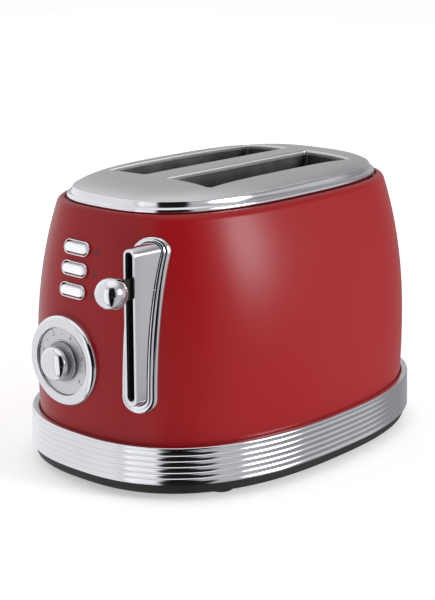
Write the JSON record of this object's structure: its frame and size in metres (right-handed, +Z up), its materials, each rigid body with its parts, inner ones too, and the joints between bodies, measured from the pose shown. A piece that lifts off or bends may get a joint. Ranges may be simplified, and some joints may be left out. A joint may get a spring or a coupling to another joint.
{
  "type": "pop up toaster",
  "caption": "Pop up toaster with two long bread slots, tapered oval shell, chrome base band and crown ring, side lever with ball knob, browning dial and push buttons.",
  "frame": {"origin": "on the surface the toaster stands on, under the middle of its bounding box", "axes": "+X along the long side, away from the lever end; +Z up; -Y is the side that the lever is nearer to"},
  "size_m": [0.3001, 0.1986, 0.185],
  "materials": {
    "red_enamel": "semi-gloss sprayed enamel",
    "bright_chrome": "mirror bright plating",
    "satin_steel": "fine satin",
    "dial_silver": "spun satin with printed scale",
    "knob_metal": "dark knurled plating",
    "chamber_sheet": "dull aluminised sheet, heat tinted",
    "guard_wire": "drawn wire",
    "mica_board": "layered mica",
    "heater_ribbon": "oxidised resistance ribbon",
    "black_plastic": "fine textured moulding",
    "foot_rubber": "matt",
    "button_lens": "milky translucent",
    "circuit_board": "solder masked",
    "copper_winding": "varnished copper wire",
    "zinc_plate": "zinc plated"
  },
  "bodies": {
    "housing": {"base_pan": "black_plastic", "base_band": "bright_chrome", "body_shell": "red_enamel", "top_plate": "satin_steel", "top_trim_ring": "bright_chrome", "base_screw_front_left": "zinc_plate", "base_screw_front_right": "zinc_plate", "base_screw_rear_left": "zinc_plate", "base_screw_rear_right": "zinc_plate", "foot_front_left": "foot_rubber", "foot_front_right": "foot_rubber", "foot_rear_left": "foot_rubber", "foot_rear_right": "foot_rubber", "lever_housing": "bright_chrome", "lever_flange": "bright_chrome", "lever_slot_liner": "black_plastic", "dial_bezel": "bright_chrome", "dial_plate": "dial_silver", "button_bezel_top": "bright_chrome", "button_bezel_middle": "bright_chrome", "button_bezel_bottom": "bright_chrome", "button_switch_top": "black_plastic", "button_switch_middle": "black_plastic", "button_switch_bottom": "black_plastic", "control_board": "circuit_board", "potentiometer": "zinc_plate", "chassis_front_plate": "chamber_sheet", "chassis_rear_plate": "chamber_sheet", "side_reflector_left": "chamber_sheet", "side_reflector_right": "chamber_sheet", "guide_rod": "guard_wire", "electromagnet": "copper_winding", "heater_board_outer_left": "mica_board", "heater_board_inner_left": "mica_board", "heater_board_inner_right": "mica_board", "heater_board_outer_right": "mica_board", "heater_ribbon_outer_left": "heater_ribbon", "heater_ribbon_inner_left": "heater_ribbon", "heater_ribbon_inner_right": "heater_ribbon", "heater_ribbon_outer_right": "heater_ribbon", "cord_gland": "black_plastic"},
    "carriage": {"lever_knob": "bright_chrome", "lever_arm": "black_plastic", "carriage_plate": "zinc_plate", "slide_bush": "black_plastic", "bread_lifter_left": "chamber_sheet", "bread_lifter_right": "chamber_sheet", "magnet_keeper": "zinc_plate", "return_spring": "guard_wire"},
    "guard_left_outer": {"bread_guard_left_outer": "guard_wire"},
    "guard_left_inner": {"bread_guard_left_inner": "guard_wire"},
    "guard_right_inner": {"bread_guard_right_inner": "guard_wire"},
    "guard_right_outer": {"bread_guard_right_outer": "guard_wire"},
    "browning_dial": {"browning_knob": "knob_metal", "knob_cap": "bright_chrome"},
    "top_button": {"button_top": "button_lens"},
    "middle_button": {"button_middle": "button_lens"},
    "bottom_button": {"button_bottom": "button_lens"},
    "tray": {"crumb_tray": "chamber_sheet", "tray_pull": "black_plastic"}
  },
  "joints": [
    {"name": "carriage_slide", "type": "slide", "parent": "housing", "child": "carriage", "axis": [0, 0, 1], "range_m": [-0.058, 0.013], "stiffness_N_per_m": 150, "springref_m": 0.0085, "deforming": ["return_spring"]},
    {"name": "guard_left_outer_lean", "type": "hinge", "parent": "housing", "child": "guard_left_outer", "pos_m": [0.00958, -0.0452, 0.044], "axis": [1, 0, 0], "range_deg": [-4.05, 0.95]},
    {"name": "guard_left_inner_lean", "type": "hinge", "parent": "housing", "child": "guard_left_inner", "pos_m": [0.00958, -0.0085, 0.044], "axis": [1, 0, 0], "range_deg": [-0.95, 4.05]},
    {"name": "guard_right_inner_lean", "type": "hinge", "parent": "housing", "child": "guard_right_inner", "pos_m": [0.00958, 0.0085, 0.044], "axis": [1, 0, 0], "range_deg": [-4.05, 0.95]},
    {"name": "guard_right_outer_lean", "type": "hinge", "parent": "housing", "child": "guard_right_outer", "pos_m": [0.00958, 0.0452, 0.044], "axis": [1, 0, 0], "range_deg": [-0.95, 4.05]},
    {"name": "browning_turn", "type": "hinge", "parent": "housing", "child": "browning_dial", "pos_m": [-0.12943, 0.0145, 0.077], "axis": [-1, 0, 0], "range_deg": [-135, 135]},
    {"name": "top_button_press", "type": "slide", "parent": "housing", "child": "top_button", "axis": [1, 0, 0], "range_m": [0, 0.0015], "stiffness_N_per_m": 300, "springref_m": -0.002},
    {"name": "middle_button_press", "type": "slide", "parent": "housing", "child": "middle_button", "axis": [1, 0, 0], "range_m": [0, 0.0015], "stiffness_N_per_m": 300, "springref_m": -0.002},
    {"name": "bottom_button_press", "type": "slide", "parent": "housing", "child": "bottom_button", "axis": [1, 0, 0], "range_m": [0, 0.0015], "stiffness_N_per_m": 300, "springref_m": -0.002},
    {"name": "tray_slide", "type": "slide", "parent": "housing", "child": "tray", "axis": [1, 0, 0], "range_m": [0, 0.2]}
  ],
  "couplings": [
    {"joint": "guard_left_outer_lean", "follows": "carriage_slide", "rad_per_m": 1.2036},
    {"joint": "guard_left_inner_lean", "follows": "carriage_slide", "rad_per_m": -1.2036},
    {"joint": "guard_right_inner_lean", "follows": "carriage_slide", "rad_per_m": 1.2036},
    {"joint": "guard_right_outer_lean", "follows": "carriage_slide", "rad_per_m": -1.2036}
  ]
}
